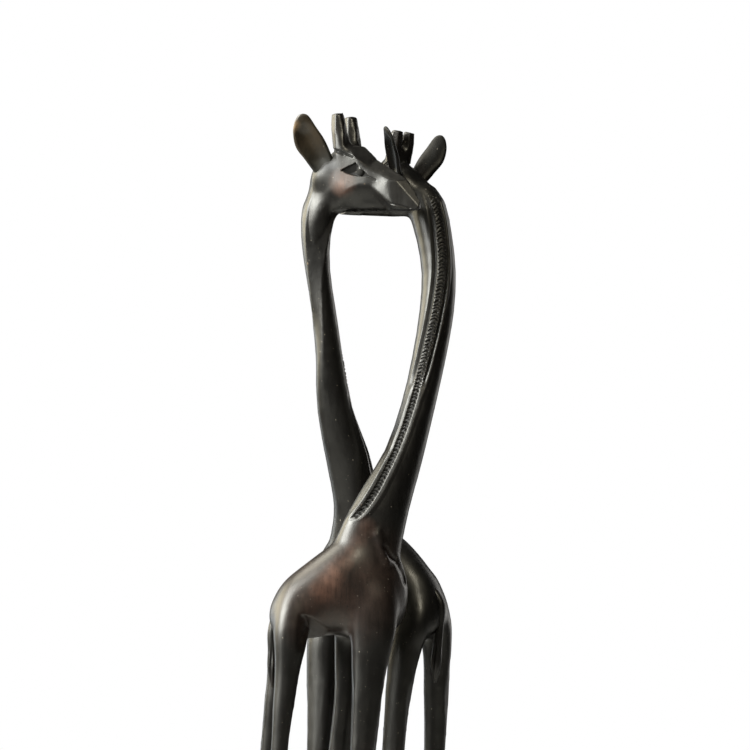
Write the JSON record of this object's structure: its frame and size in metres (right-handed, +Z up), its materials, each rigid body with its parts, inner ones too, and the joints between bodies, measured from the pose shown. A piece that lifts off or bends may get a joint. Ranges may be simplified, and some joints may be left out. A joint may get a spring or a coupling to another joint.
{
  "type": "carved giraffe statue",
  "caption": "Carved dark wood statue of a pair of tall giraffes with crossed necks, standing on one low plinth; ornament that rests on a shelf or floor.",
  "frame": {"origin": "middle of the plinth's flat underside", "axes": "+Z up along the statue's height, +X to the right as the statue is seen from its front, +Y away from the viewer"},
  "size_m": [0.168, 0.138, 0.5968],
  "materials": {
    "carved_wood": "near-black stained hardwood under satin-gloss lacquer, hand-carved and rubbed",
    "ear_wood": "near-black stained hardwood, satin-gloss, stain worn brown on the rims",
    "tail_wood": "near-black stained hardwood, satin-gloss",
    "base_wood": "near-black stained hardwood, satin-gloss, bare and duller underneath",
    "dowel_wood": "raw pale hardwood dowel, hidden inside"
  },
  "bodies": {
    "root": {"base": "base_wood", "front_giraffe": "carved_wood", "rear_giraffe": "carved_wood", "front_ear_left": "ear_wood", "front_ear_right": "ear_wood", "rear_ear_left": "ear_wood", "rear_ear_right": "ear_wood", "front_tail": "tail_wood", "rear_tail": "tail_wood", "front_dowel_fore_left": "dowel_wood", "front_dowel_fore_right": "dowel_wood", "front_dowel_hind_left": "dowel_wood", "front_dowel_hind_right": "dowel_wood", "rear_dowel_fore_left": "dowel_wood", "rear_dowel_fore_right": "dowel_wood", "rear_dowel_hind_left": "dowel_wood", "rear_dowel_hind_right": "dowel_wood"}
  },
  "joints": []
}
